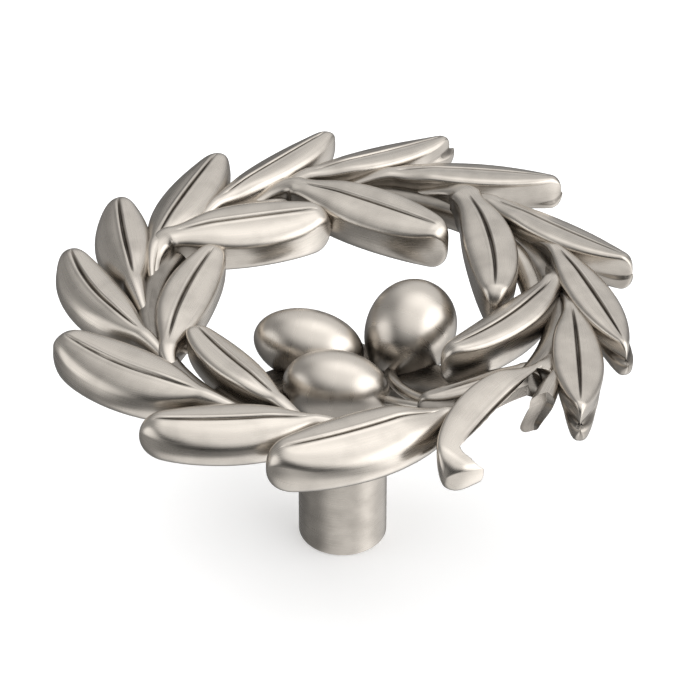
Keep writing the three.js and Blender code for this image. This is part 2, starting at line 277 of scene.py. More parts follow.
@dataclass(frozen=True)
class SatinNickel:
    """Satin nickel: zinc die casting plated with nickel, then brushed, with painted shade mixed in towards a dark
    brown.

    The brushing gives soft streaked highlights along each form. Each piece's point values of painted shade darken
    its hollows, undersides and shaded parts towards the dark colour.
    """

    name: str = "satin_nickel"
    light: str = "#CBC4BB"
    # the colour that painted shade mixes towards
    dark: str = "#352F29"
    roughness: float = 0.28
    anisotropy: float = 0.3
    streak_mm: float = 0.16
    streak_run_mm: float = 7.0
    streak_height_mm: float = 0.0016
    roughness_span: tuple[float, float] = (0.25, 0.75)
    roughness_swing: tuple[float, float] = (-0.05, 0.07)
    cloud_per_mm: float = 0.35
    cloud_span: tuple[float, float] = (0.3, 0.7)
    cloud_swing: tuple[float, float] = (-0.12, 0.12)

    def material(self) -> bpy.types.Material:
        """Makes the material.

        Returns:
            A node material that reads the piece's UV map in millimetres and its painted shade values.
        """
        made = bpy.data.materials.new(self.name)
        made.use_nodes = True
        tree = made.node_tree
        tree.nodes.clear()
        run = add(tree, "ShaderNodeUVMap", {"uv_map": "run"}, {})
        painted_shade = add(tree, "ShaderNodeAttribute", {"attribute_name": "painted_shade"}, {})
        along = (1 / self.streak_run_mm, 1 / self.streak_mm, 1.0)
        stretched = add(tree, "ShaderNodeMapping", {"Scale": along}, {"Vector": run.outputs["UV"]})
        fine = {"Scale": 1.0, "Detail": 3.0, "Roughness": 0.6}
        streak = add(tree, "ShaderNodeTexNoise", fine, {"Vector": stretched.outputs["Vector"]})
        coarse = {"Scale": self.cloud_per_mm, "Detail": 2.0}
        cloud = add(tree, "ShaderNodeTexNoise", coarse, {"Vector": run.outputs["UV"]})
        patch = rescale(tree, cloud.outputs["Fac"], self.cloud_span, self.cloud_swing, Course.EVEN)
        # Painted shade from each point, with random patches of tone added to it.
        total = {"operation": "ADD", "use_clamp": True}
        shaded = add(tree, "ShaderNodeMath", total, {0: painted_shade.outputs["Fac"], 1: patch})
        mix_a, mix_b, mixed = 6, 7, 2  # the mix node's sockets for colours, which share their labels with others
        colour = add(tree, "ShaderNodeMix", {"data_type": "RGBA"}, {0: shaded.outputs["Value"]})
        colour.inputs[mix_a].default_value = linear(self.light)
        colour.inputs[mix_b].default_value = linear(self.dark)
        swing = tuple(self.roughness + step for step in self.roughness_swing)
        rough = rescale(tree, streak.outputs["Fac"], self.roughness_span, swing, Course.EVEN)
        height = {"Strength": 1.0, "Distance": self.streak_height_mm * MM}
        bump = add(tree, "ShaderNodeBump", height, {"Height": streak.outputs["Fac"]})
        tangent = add(tree, "ShaderNodeTangent", {"direction_type": "UV_MAP", "uv_map": "run"}, {})
        shader = add(
            tree,
            "ShaderNodeBsdfPrincipled",
            {"Metallic": 1.0, "Anisotropic": self.anisotropy},
            {
                "Base Color": colour.outputs[mixed],
                "Roughness": rough,
                "Normal": bump.outputs["Normal"],
                "Tangent": tangent.outputs["Tangent"],
            },
        )
        add(tree, "ShaderNodeOutputMaterial", {}, {"Surface": shader.outputs["BSDF"]})
        return made


# The wreath

# What all leaves share. A share of the length runs from base to tip, a share of the depth from the crest down.
BASE_FULLNESS = 0.7  # power of the outline's hump at the base: more is more pointed
TIP_FULLNESS = 0.56  # the same at the tip
POINTED_FULLNESS = 0.9  # the same for a pointed leaf's face
STEM_RUN = 0.3  # share of the length in which stem width and base drop fade
STEM_EASE = 1.5  # power of that fade
BASE_RUN = 0.25  # share of the length in which the roll comes in and the base's dark goes
TIP_POWER = 2.2  # power of the oval that closes the depth at the tip
FULL_WIDTH = 0.4  # half width, as a share of the width, at which the shoulder is deepest
SLIM_SHOULDER = 0.45  # share of the shoulder that the slimmest section keeps
MOST_SHOULDER = 0.6  # greatest share of the depth that the shoulder takes
FLARE_DEPTHS = (0.1, 0.65)  # shares of the depth between which the wall flares out
UNDERCUT_DEPTHS = (0.1, 0.9)  # shares of the depth between which the wall draws in
UNDERCUT_END = (0.8, 0.97)  # shares of the length between which that ends
FACE_SINES = (0.3, 0.8)  # sines round a section between which wall turns into face
GROOVE_EASE = 0.6  # power of the groove's fade towards its ends
GROOVE_NARROW = 0.4  # share of the groove's width that its ends keep
LIP_OUT = 0.42  # mm from the groove's middle to the top of a lip
LIP_HALF = 0.17  # half width of a lip, mm
ROLL_EASE = 0.8  # power by which the roll fades down the wall
LOBE_BLEND = 0.06  # share of the depth over which face gives way to lobe
LOBE_FROM = 0.8  # share of the length where a lobe begins to swell
LOBE_STRETCH = 1.6  # how far down the lobe's oval is stretched
LOBE_MARGIN = 0.04  # share of the depth by which that oval reaches above the lobe
PARTING_HALF = 0.05  # half width of the notch above a lobe, as a share of the depth
PARTING_FULL = 0.95  # share of the length where the notch is at its full depth
PARTING_LOBE = 0.4  # mm of lobe that goes with a full notch
PARTING_PINCH = 0.12  # share of the width that the notch takes
PARTING_BACK = 0.25  # mm that the notch is pushed back
STREAK_SHIFT = 3.7  # mm of brushing for each degree round the branch, so that no two leaves match

# Painted shade in a leaf's groove, in the notch above its lobe, on its underside and at its base, as shares of the
# way to the dark colour.
DARK_GROOVE = 0.8
DARK_GROOVE_FADE = 0.6  # groove fade from which the groove is fully dark
DARK_PER_DEPTH = 3  # share gained for each mm of groove
DARK_UNDER = 0.1
DARK_UNDER_SINES = (-0.2, 0.7)  # sines below the section's middle between which the underside darkens
UNDER_SHADE = 2  # how much more the underside has of a leaf's own shade
DARK_PARTING = 0.6
DARK_BASE = 0.45


@dataclass
class Ring:
    """The line of the branch in plan, and the levels that all leaves share."""

    radius: float = 22.2
    shift_x: float = 1.2
    shift_y: float = -1.5
    crest: float = 33.7
    underside: float = 29.8

    def point(self, at: Array | float, off: Array | float) -> Array:
        """A plan point: the circle's middle plus radius and offset, times the cosine and sine of the angle.

        Args:
            at: place round the branch, in degrees.
            off: distance out from the branch line.

        Returns:
            Plan points, x and y in the last axis.
        """
        angle = np.radians(at)
        reach = self.radius + off
        return np.stack([self.shift_x + reach * np.cos(angle), self.shift_y + reach * np.sin(angle)], axis=-1)


@dataclass
class LeafLine:
    """The middle line of a leaf, and what its sections need there: one row for each station."""

    centre: Array
    ahead: Array
    share: Array
    half: Array
    depth: Array
    top: Array
    blunt: Array


@dataclass
class Leaf:
    """One leaf with its stem, told by how it springs from the branch.

    It starts at a place round the branch, set out from its line, and goes on for its reach. Splay turns it from
    the branch's run, bow swings it sideways, roll tilts its face, and its crest runs from one level to another.
    The shoulder is how deep the face has rounded into the wall, crispness and belly are the powers of the
    section's upper and lower part, flare widens and the undercut narrows its wall, and shade darkens it. A lobe
    swells from the tip below its level, and a pointed leaf's face is slimmer than its lobe.
    """

    name: str
    at: float
    set_out: float
    reach: float
    width: float
    splay: float
    bow: float
    roll: float
    crest_from: float
    crest_to: float
    ring: Ring = field(default_factory=Ring)
    stem_turn: float = 17.0
    stem_half: float = 1.0
    shoulder: float = 1.5
    crispness: float = 2.6
    belly: float = 3.0
    tip_radius: float = 1.2
    flare: float = 0.0
    undercut_share: float = 0.0
    # painted shade over the whole leaf, with more on its underside
    shade: float = 0.0
    lobe: float = 0.0
    lobe_level: float = 0.4
    pointed: float = 0.0
    stem_start_half: float = 0.45
    stem_pull: float = 0.4
    stem_drop: float = 2.1
    base_drop: float = 0.45
    crest_density: float = 0.8
    groove_depth: float = 0.5
    groove_half: float = 0.15
    groove_from: float = 0.05
    groove_to: float = 0.92
    lip_height: float = 0.06
    rib_shift: float = 0.0
    stem_stations: int = 28
    stations: int = 84
    around: int = 112

    def heading(self) -> tuple[Array, Array]:
        """The leaf's direction in plan, and its outward side."""
        turn = math.radians(self.at - 90 + self.splay)
        along = np.array([math.cos(turn), math.sin(turn)])
        return along, np.array([-along[1], along[0]])

    def blade_line(self, s: Array) -> tuple[Array, Array]:
        """The blade's middle line: straight along its heading, swung sideways by a parabola.

        Args:
            s: share of the blade's length from base to tip.

        Returns:
            Plan points of the line and its direction at each.
        """
        along, out = self.heading()
        swing = self.bow * 4 * s * (1 - s)
        slope = self.bow * 4 * (1 - 2 * s) / self.reach
        points = self.ring.point(self.at, self.set_out) + np.outer(s * self.reach, along) + np.outer(swing, out)
        ahead = along + np.outer(slope, out)
        return points, unit(ahead)

    def stem_line(self, q: Array) -> tuple[Array, Array]:
        """The stem's line: a quadratic curve from the branch that meets the blade in its own direction.

        Args:
            q: share of the stem from the branch to the blade.

        Returns:
            Plan points of the line and its direction at each.
        """
        base, ahead = self.blade_line(np.array([0.0]))
        last, aim = base[0], ahead[0]
        first = self.ring.point(self.at + self.stem_turn, 0.0)
        middle = last - aim * np.linalg.norm(last - first) * self.stem_pull
        q = q[:, None]
        points = (1 - q) ** 2 * first + 2 * (1 - q) * q * middle + q**2 * last
        run = 2 * (1 - q) * (middle - first) + 2 * q * (last - middle)
        return points, unit(run)

    def half_width(self, s: Array) -> Array:
        """Half the width along the blade: a hump, more pointed to the base and blunter to the tip."""
        hump = np.where(s < 0.5, fullness(s, BASE_FULLNESS), fullness(s, TIP_FULLNESS))
        return np.hypot(self.width / 2 * hump, self.stem_half * np.clip(1 - s / STEM_RUN, 0, 1) ** STEM_EASE)

    def line(self) -> LeafLine:
        """Stem and blade on one line, with the half width, depth and top of each section.

        The crest rises or falls evenly along the blade, and drops along the stem to the branch. The depth closes
        at the tip by an oval: the way into the tip and the share of depth left, each to a power, add up to one.

        Returns:
            The line.
        """
        q = np.linspace(0, 1, self.stem_stations, endpoint=False)
        s = np.sin(np.linspace(0, TAU / 4, self.stations))[:-1]
        stem, stem_ahead = self.stem_line(q)
        blade, blade_ahead = self.blade_line(s)
        share = np.concatenate([0 * q, s])
        stem_half = self.stem_start_half + (self.stem_half - self.stem_start_half) * q
        drop = np.concatenate([self.stem_drop * (1 - q) ** STEM_EASE, 0 * s])
        drop = drop + self.base_drop * (1 - smooth(share, 0, STEM_RUN))
        crest = self.crest_from + (self.crest_to - self.crest_from) * share - drop
        tall = crest - self.ring.underside
        into_tip = np.clip(1 - (1 - share) * self.reach / self.tip_radius, 0, 1)
        blunt = (1 - into_tip**TIP_POWER) ** (1 / TIP_POWER)
        return LeafLine(
            centre=np.vstack([stem, blade]),
            ahead=np.vstack([stem_ahead, blade_ahead]),
            share=share,
            half=np.concatenate([stem_half, self.half_width(s)]),
            depth=tall * blunt,
            top=crest - 0.5 * tall * (1 - blunt),
            blunt=blunt,
        )

    def section(self, line: LeafLine) -> tuple[Array, Array, Array]:
        """The plain section at each station: a superellipse with one power above its middle and one below.

        Its upper part is as deep as the shoulder. The points crowd towards the crest, where the groove is.

        Args:
            line: the leaf's middle line.

        Returns:
            Distance out from the line, height against the crest, and the sine of the angle round the section.
        """
        even = circle(self.around)
        angle = TAU / 4 + even - self.crest_density / 2 * np.sin(2 * even) * np.clip(2 * np.cos(even), 0, 1)
        cosine, sine = np.cos(angle)[None, :], np.sin(angle)[None, :]
        half, depth = line.half[:, None], line.depth[:, None]
        wide = np.minimum(1, half / (FULL_WIDTH * self.width))
        upper = self.shoulder * line.blunt[:, None] * (SLIM_SHOULDER + (1 - SLIM_SHOULDER) * wide)
        upper = np.minimum(upper, MOST_SHOULDER * depth)
        power = 2 / np.where(sine > 0, self.crispness, self.belly)
        z = np.where(sine > 0, upper, depth - upper) * signed_power(sine, power) - upper
        x = half * signed_power(cosine, power)
        x = x * (1 - self.flare * (1 - smooth(-z / depth, *FLARE_DEPTHS)))
        held = 1 - smooth(line.share, *UNDERCUT_END)[:, None]
        return x * (1 - self.undercut_share * smooth(-z / depth, *UNDERCUT_DEPTHS) * held), z, sine

    def surface(self) -> Skin:
        """The leaf's closed skin: its sections with groove, roll, lobe and notch, carried along its line.

        The groove is a narrow bell with a lower bell on each side as its lips, and fades to both ends by the
        sine of its run. The lobe is pushed ahead by an oval over its height, and the notch above it is a bell.

        Returns:
            The skin on its grid.
        """
        line = self.line()
        x, z, sine = self.section(line)
        along = line.share[:, None]
        level = np.clip(1 + z / line.depth[:, None], 0, 1)
        face = smooth(sine, *FACE_SINES)
        run_share = np.clip((along - self.groove_from) / (self.groove_to - self.groove_from), 0, 1)
        fade = np.sin(math.pi * run_share) ** GROOVE_EASE
        rib = x - self.rib_shift * np.sin(math.pi * along)
        groove = bell(rib, self.groove_half * (GROOVE_NARROW + (1 - GROOVE_NARROW) * fade)) * fade * face
        lips = bell(np.abs(rib) - LIP_OUT, LIP_HALF) * fade * face
        z = z - self.groove_depth * groove + self.lip_height * lips
        z = z - x * math.tan(math.radians(self.roll)) * level**ROLL_EASE * smooth(along, 0, BASE_RUN)
        above = smooth(level, self.lobe_level - LOBE_BLEND, self.lobe_level + LOBE_BLEND)
        slim = fullness(along, POINTED_FULLNESS) / np.maximum(fullness(along, TIP_FULLNESS), TINY)
        x = x * (1 - self.pointed * above * (1 - np.where(along > 0.5, slim, 1)))
        parting = bell(level - self.lobe_level, PARTING_HALF) * smooth(along, LOBE_FROM, PARTING_FULL)
        parting = parting * min(1.0, self.lobe / PARTING_LOBE)
        x = x * (1 - PARTING_PINCH * parting)
        oval = LOBE_STRETCH * level / (self.lobe_level + LOBE_MARGIN) - (LOBE_STRETCH - 1)
        swell = np.sqrt(np.clip(1 - oval**2, 0, 1)) * (level < self.lobe_level)
        push = self.lobe * smooth(along, LOBE_FROM, 1) * swell - PARTING_BACK * parting
        side = np.stack([-line.ahead[:, 1], line.ahead[:, 0]], axis=1)
        plan = line.centre[:, None] + side[:, None] * x[..., None] + line.ahead[:, None] * push[..., None]
        grid = np.concatenate([plan, (line.top[:, None] + z)[..., None]], axis=2)
        # Painted shade: dark in the groove and the notch above the lobe, under the leaf and at its base, plus the
        # leaf's own painted shade.
        dark = DARK_GROOVE * bell(rib, LIP_HALF) * smooth(fade, 0, DARK_GROOVE_FADE) * face
        dark = dark * min(1.0, DARK_PER_DEPTH * self.groove_depth) + self.shade + DARK_PARTING * parting
        dark = dark + (DARK_UNDER + UNDER_SHADE * self.shade) * smooth(-sine, *DARK_UNDER_SINES)
        dark = dark + DARK_BASE * (1 - smooth(along, 0, BASE_RUN)) * (1 - face)
        first = np.append(line.centre[0], line.top[0] - 0.5 * line.depth[0])
        tip = self.blade_line(np.array([1.0]))[0][0]
        last = np.append(tip, (self.crest_to + self.ring.underside) / 2)
        return Skin(grid, self.run(line, grid), dark, first, last)

    def run(self, line: LeafLine, grid: Array) -> Array:
        """The UV map in millimetres: the way along the line, and the way round the section at mid-length.

        Args:
            line: the leaf's middle line.
            grid: the skin's points.

        Returns:
            A UV pair for each point.
        """
        girth = np.cumsum(np.linalg.norm(np.diff(grid, axis=1, append=grid[:, :1]), axis=2), axis=1)
        middle = self.stem_stations + self.stations // 2
        around = np.concatenate([[0], girth[middle, :-1]])
        return uv_grid(way(line.centre)[:, None] + STREAK_SHIFT * self.at, around[None, :])


@dataclass
class BrokenLeaf(Leaf):
    """The leaf whose outer half has gone: cut back to its midrib, with the break leaning in underneath.

    The break runs between two shares of the length. Its far end slants by a skew, and below the step's level it
    steps out by the spur, with a skew of its own.
    """

    break_from: float = 0.02
    break_to: float = 0.865
    break_skew: float = 0.13
    spur_short: float = 0.03
    spur_skew: float = 0.05
    undercut: float = 3.26
    step_level: float = 33.0
    step_blend: tuple[float, float] = (-0.9, 0.7)
    ragged_wide: tuple[float, float] = (0.05, 1.1)
    ragged_fine: tuple[float, float, float] = (0.03, 4.3, 2.4)
    end_wave: float = 0.006
    end_wave_turn: float = 3.1
    end_blend: float = 0.012
    start_blend: float = 0.03
    keep_in_leaf: float = 0.9

    def cut(self, grid: Array, keep: float = 0.0) -> Array:
        """Moves every point beyond the break back onto it.

        The break is a plane through the midrib at the face. It leans inward below, and two sine waves make it
        a little ragged.

        Args:
            grid: points in millimetres, in the last axis, one section in each row.
            keep: share of a section's inner reach that no point is moved past; 0 for no such bound.

        Returns:
            The points, with those beyond the break moved inward.
        """
        along, out = self.heading()
        offset = grid[..., :2] - self.ring.point(self.at, self.set_out)
        length = offset @ along / self.reach
        beyond = offset @ out
        level = grid[..., 2]
        run = length * self.reach
        size, pace = self.ragged_wide
        ragged = size * np.sin(pace * run)
        size, pace, down = self.ragged_fine
        ragged = ragged + size * np.sin(pace * run + down * level)
        depth_share = (self.crest_from - level) / (self.crest_from - self.ring.underside)
        limit = -self.undercut * depth_share + ragged
        if keep > 0:
            limit = np.maximum(limit, keep * beyond.min(axis=1, keepdims=True))
        past = np.clip(beyond, 0, None) / self.width
        lower = smooth(self.step_level - level, *self.step_blend)
        skew = self.break_skew + (self.spur_skew - self.break_skew) * lower
        end = self.break_to - self.spur_short * lower + skew * past
        end = end + self.end_wave * np.sin(self.end_wave_turn * beyond)
        start = self.break_from - self.break_skew * past
        held = smooth(length, end - self.end_blend, end + self.end_blend)
        held = np.maximum(held, 1 - smooth(length, start, start + self.start_blend))
        limit = limit + held * OUT_OF_REACH
        moved = grid.copy()
        moved[..., :2] += (np.minimum(beyond, limit) - beyond)[..., None] * out
        return moved

    def surface(self) -> Skin:
        """The whole leaf's skin, cut back to the break."""
        skin = super().surface()
        skin.grid = self.cut(skin.grid, self.keep_in_leaf)
        return skin


# Forms that leaves share: soft and full at the front, squarer at the back and on the inside. The back leaves also
# get a little painted shade.
FRONT = {"shoulder": 1.7, "crispness": 2.1, "belly": 2.5, "tip_radius": 2.6, "flare": 0.14}
BACK = {"shoulder": 1.1, "crispness": 2.6, "tip_radius": 1.3, "undercut_share": 0.2, "shade": 0.1}
INNER = {"crispness": 2.5, "tip_radius": 1.9}

# Each row: name, place round the branch, set-out, reach, width, splay, bow, roll, crest at base and at tip.
OUTER_LEAVES: tuple[Leaf, ...] = (
    Leaf("outer_leaf_1", -64, -0.3, 20.6, 8.3, -1, 0.8, 7, 35.2, 35.4, stem_turn=9, base_drop=1.3, **FRONT),
    Leaf(
        "outer_leaf_2", -101, -0.2, 18.2, 7.8, 13, 0.3, 4, 34.9, 34.7, stem_turn=16, stem_half=1.1,
        rib_shift=0.3, **FRONT,
    ),
    Leaf(
        "outer_leaf_3", -132, 1.5, 18.9, 8, 10, 0.6, 6, 35.2, 35.5, stem_turn=18, stem_half=1.2,
        rib_shift=0.7, **FRONT,
    ),
    Leaf("outer_leaf_4", -164, 1.3, 18.4, 6.7, 13, 1.2, 5, 34.7, 34.6, stem_half=1.3, rib_shift=0.3, **FRONT),
    Leaf("outer_leaf_5", 172, 2, 16.8, 6.6, 17, 0.3, 13, 34.7, 34.3, stem_half=1.4, **FRONT),
    Leaf(
        "outer_leaf_6", 156, 1.8, 20.2, 7.1, 4, 0.3, 11, 35.1, 34.3, stem_turn=15, stem_half=1.1, shoulder=1.9,
        crispness=2.2, belly=2.5, tip_radius=2.4, flare=0.12,
    ),
    Leaf(
        "outer_leaf_7", 130, 1.5, 19.7, 6.2, 9, 0, 17, 34.9, 34.2, shoulder=1.6,
        crispness=2.3, belly=2.6, tip_radius=2, flare=0.1,
    ),
    Leaf(
        "outer_leaf_8", 102, 1.8, 18.1, 5.8, 15, -0.4, 15, 35, 34.1, lobe=0.65, lobe_level=0.5,
        pointed=0.6, **BACK,
    ),
    Leaf(
        "outer_leaf_9", 80, 1.6, 19.6, 6.4, 9, 0.5, 16, 35.1, 33.9, lobe=0.15, lobe_level=0.25,
        pointed=0.5, **BACK,
    ),
    Leaf("outer_leaf_10", 49, 1.5, 18.8, 6.2, 5, -0.4, 18, 35.1, 34.3, lobe=0.1, pointed=0.5, **BACK),
    Leaf("outer_leaf_11", 21, 1.7, 18.9, 5.4, 0, 0.3, 11, 35.2, 34.1, lobe=0.7, lobe_level=0.5, pointed=1, **BACK),
    Leaf("outer_leaf_12", -4, 1.4, 18.8, 5.6, 4, 0.2, 8, 34.7, 34.5, lobe=0.7, lobe_level=0.5, pointed=1, **BACK),
)
INNER_LEAVES: tuple[Leaf, ...] = (
    Leaf("inner_leaf_1", -115, -3, 15.6, 5.4, -28, 0.4, -14, 34.3, 34.5, stem_half=0.9, shoulder=1.1, **INNER),
    Leaf(
        "inner_leaf_2", -157, -0.6, 18.6, 5.7, -39, 0.8, -8, 34.5, 34.9, stem_turn=14, stem_half=1.1,
        tip_radius=2,
    ),
    Leaf(
        "inner_leaf_3", 152, 0.8, 18.3, 7.4, -48, 0.1, -5, 35.5, 35.3, stem_turn=15, stem_half=1.8, shoulder=1.6,
        crispness=2.3, tip_radius=2.2,
    ),
    Leaf(
        "inner_leaf_4", 107, -0.4, 19.6, 6.6, -48, 0.2, -7, 35.3, 35.5, stem_turn=16, stem_half=1.6, shoulder=1.2,
        shade=0.1, **INNER,
    ),
    Leaf(
        "inner_leaf_5", 56, 0.4, 20.4, 5.8, -49, 1.2, -2, 35.5, 35.5, stem_half=1.9, shoulder=1.1,
        shade=0.1, **INNER,
    ),
    Leaf(
        "inner_leaf_6", 8, -0.2, 18.7, 5.3, -50, 1.4, -10, 34.9, 35.1, stem_turn=16, stem_half=1.4, shoulder=1.1,
        shade=0.1, **INNER,
    ),
    Leaf(
        "inner_leaf_7", -31, -1.2, 12.4, 3.2, -35, 0.4, -8, 33.3, 32.6, stem_turn=14, stem_half=0.8, shoulder=0.8,
        crispness=2.2, groove_depth=0.0, shade=0.35,
    ),
)
BESIDE_BREAK = (OUTER_LEAVES[0], INNER_LEAVES[6])


@dataclass
class Wreath:
    """The branch ring with its leaves, the broken leaf and the stub beside it."""

    ring: Ring = field(default_factory=Ring)
    branch_width: float = 3.0
    branch_drop: float = 0.5
    branch_squareness: float = 0.8
    # an even painted shade over the branch, which lies under the leaves
    branch_painted_shade: float = 0.55
    branch_wrap: float = 2.6
    branch_stations: int = 720
    branch_around: int = 48
    broken: BrokenLeaf = field(
        default_factory=lambda: BrokenLeaf(
            "broken_leaf", -31, 1.3, 20.2, 8.2, -1.5, 0, 19, 34.4, 34.2, stem_turn=15, stem_half=1.1, shoulder=1.1,
            crispness=2.8, belly=2.6, tip_radius=1.9, rib_shift=-0.35, groove_from=0.02, groove_to=0.8,
            groove_half=0.12, stations=240, around=160,
        )
    )
    stub: Leaf = field(
        default_factory=lambda: Leaf(
            "leaf_stub", -29, 2.7, 12.6, 2.3, 9, 0, 0, 34.3, 34.1, stem_turn=12, stem_half=0.8, shoulder=0.8,
            groove_depth=0.0, stations=160, shade=0.2, crispness=2.0, tip_radius=0.4,
        )
    )
    stub_left: float = 0.47
    stub_skew: float = 0.08
    stub_foot: float = 0.1
    stub_foot_level: float = 31.4
    stub_foot_blend: tuple[float, float] = (-1.6, 1.0)
    stub_notch: float = 0.55
    foot_turn: float = 0.9

    def branch(self) -> Skin:
        """The branch: a superellipse section, carried round the ring and cut back at the break."""
        at = np.linspace(0, 360, self.branch_stations, endpoint=False)
        angle = circle(self.branch_around) + TAU / 4
        crest = self.ring.crest - self.branch_drop
        x = self.branch_width / 2 * signed_power(np.cos(angle), self.branch_squareness)
        z = (crest - self.ring.underside) / 2 * (signed_power(np.sin(angle), self.branch_squareness) - 1)
        plan = self.ring.point(at[:, None], x[None, :])
        level = np.broadcast_to(crest + z, plan.shape[:2])
        grid = self.broken.cut(np.concatenate([plan, level[..., None]], axis=2))
        run = uv_grid(np.radians(at)[:, None] * self.ring.radius, angle[None, :] * self.branch_wrap)
        return Skin(grid, run, np.full(level.shape, self.branch_painted_shade))

    def stub_skin(self) -> Skin:
        """The stub: a slim leaf whose points past its end are moved back onto it.

        The end is slanted and a little ragged, and a foot stands out from it near the underside.

        Returns:
            The skin on its grid.
        """
        skin = self.stub.surface()
        along, out = self.stub.heading()
        offset = skin.grid[..., :2] - self.stub.ring.point(self.stub.at, self.stub.set_out)
        beyond = offset @ out
        foot = self.stub_foot * smooth(self.stub_foot_level - skin.grid[..., 2], *self.stub_foot_blend)
        limit = self.stub.reach * (self.stub_left + foot - self.stub_skew * beyond / self.stub.width)
        limit = limit + self.stub_notch * (np.abs(beyond - self.stub_notch / 2) - 0.5)
        back = np.minimum(limit - offset @ along, 0)
        skin.grid[..., :2] += back[..., None] * along - (self.foot_turn * foot / self.stub_foot)[..., None] * out
        skin.end = skin.grid[-1].mean(axis=0)
        return skin

    def build(self, finish: bpy.types.Material) -> None:
        """Builds every leaf and the branch.

        Args:
            finish: the metal's material.
        """
        for leaf in (*OUTER_LEAVES, *INNER_LEAVES):
            skin = leaf.surface()
            if leaf in BESIDE_BREAK:
                skin.grid = self.broken.cut(skin.grid)
            skin.build(leaf.name, finish)
        self.branch().build("branch", finish)
        self.broken.surface().build(self.broken.name, finish)
        self.stub_skin().build(self.stub.name, finish)


@dataclass
class Olive:
    """One olive: its middle, its length and girth, and how it lies."""

    name: str
    middle: tuple[float, float, float]
    reach: float
    girth: float
    egg: float
    turn: float
    lift: float
    streak_ease: float = 0.12
    painted_shade_above: float = 0.02
    painted_shade_below: float = 0.52
    painted_shade_levels: tuple[float, float] = (0.3, -0.02)
    stations: int = 80
    around: int = 96

    def surface(self) -> Skin:
        """An egg: a circle carried along an ellipse, fuller to one end, then lifted and turned.

        It is painted darker downwards, a painted shade for its underside among the leaves, between two levels that
        are shares of its girth above its middle.

        Returns:
            The skin on its grid.
        """
        s = even_ends(self.stations)[1:-1]
        angle = circle(self.around)
        x = (2 * s - 1)[:, None]
        swell = self.girth / 2 * np.sqrt(np.clip(1 - x**2, 0, 1)) * (1 + self.egg * x)
        local = np.stack(
            np.broadcast_arrays(x * self.reach / 2, swell * np.cos(angle), swell * np.sin(angle)), axis=2
        )
        lift, turn = math.radians(self.lift), math.radians(self.turn)
        raise_it = np.array([[math.cos(lift), 0, -math.sin(lift)], [0, 1, 0], [math.sin(lift), 0, math.cos(lift)]])
        turn_it = np.array([[math.cos(turn), -math.sin(turn), 0], [math.sin(turn), math.cos(turn), 0], [0, 0, 1]])
        place = turn_it @ raise_it
        grid = local @ place.T + np.array(self.middle)
        tips = [place @ np.array([sign * self.reach / 2, 0, 0]) + np.array(self.middle) for sign in (-1, 1)]
        run = uv_grid(angle[None, :] * self.girth / 2, x * self.reach / 2) * self.streak_ease
        # Painted shade: darker towards the bottom, where the leaves shade the olive.
        high, low = (-share * self.girth for share in self.painted_shade_levels)
        below = smooth(self.middle[2] - grid[..., 2], high, low)
        return Skin(grid, run, self.painted_shade_above + (self.painted_shade_below - self.painted_shade_above) * below, *tips)


@dataclass
class Stalk:
    """A round stalk through given points, thinner or thicker to one end."""

    name: str
    path: tuple[tuple[float, float, float], ...]
    thick_from: float
    thick_to: float
    # a light even painted shade over the stalk, which lies in the leaves' shade
    dark: float = 0.15
    stations: int = 80
    around: int = 32
    end_power: int = 40
    end_least: float = 0.02

    def surface(self) -> Skin:
        """A circle carried along a smooth curve, its radius eased from end to end.

        The radius closes at both ends by an oval of a high power, down to a least share of itself.

        Returns:
            The skin on its grid.
        """
        curve = catmull(np.array(self.path), self.stations)
        ahead = unit(np.gradient(curve, axis=0))
        flat = unit(np.cross(ahead, [0.0, 0.0, 1.0]))
        up = np.cross(flat, ahead)
        s = np.linspace(0, 1, len(curve))
        radius = (self.thick_from + (self.thick_to - self.thick_from) * s) / 2
        radius = radius * np.sqrt(np.clip(1 - (2 * np.abs(s - 0.5)) ** self.end_power, self.end_least, 1))
        angle = circle(self.around)
        rim = flat[:, None, :] * np.cos(angle)[None, :, None] + up[:, None, :] * np.sin(angle)[None, :, None]
        grid = curve[:, None, :] + rim * radius[:, None, None]
        run = uv_grid(way(curve)[:, None], angle[None, :] * self.thick_from / 2)
        return Skin(grid, run, np.full(grid.shape[:2], self.dark), curve[0], curve[-1])


# Each row: name, middle, length, girth, share that it is fuller to its end, turn and lift in degrees.
OLIVES: tuple[Olive, ...] = (
    Olive("olive_left", (-3.7, -4.4, 29.4), 12.2, 8, 0.02, -10, -10),
    Olive("olive_right", (7.3, -2.1, 29.7), 11.8, 9.8, 0.06, 62, 30),
    Olive("olive_front", (-0.7, -11.9, 29.5), 11.6, 8, 0.02, 174, 6),
)
# Each row: name, the points it passes through, and its thickness at both ends.
STALKS: tuple[Stalk, ...] = (
    Stalk(
        "stalk_right",
        ((5.1, -5.7, 27.3), (5.3, -8.6, 28.2), (6.3, -11.2, 28.7), (8.1, -13.8, 29.4), (10.3, -15.9, 30.4),
         (12.4, -17.3, 31.4), (15, -17.9, 32.3)),
        1.3, 1.3,
    ),
    Stalk("stalk_front", ((3, -12.5, 28.9), (5, -13.9, 29), (7.2, -15.7, 29.8), (9.8, -17.5, 30.6)), 1.4, 1.4),
    Stalk("petiole", ((16.7, 12.1, 32.1), (19.3, 8.3, 32.1), (20.7, 3.9, 31.7), (21.2, -0.9, 31.7)), 2.6, 2.8),
    Stalk("tie", ((-20.8, -7.1, 31.7), (-17.8, -7.3, 31.7), (-15.4, -8.3, 31.7)), 1.4, 1.4),
)


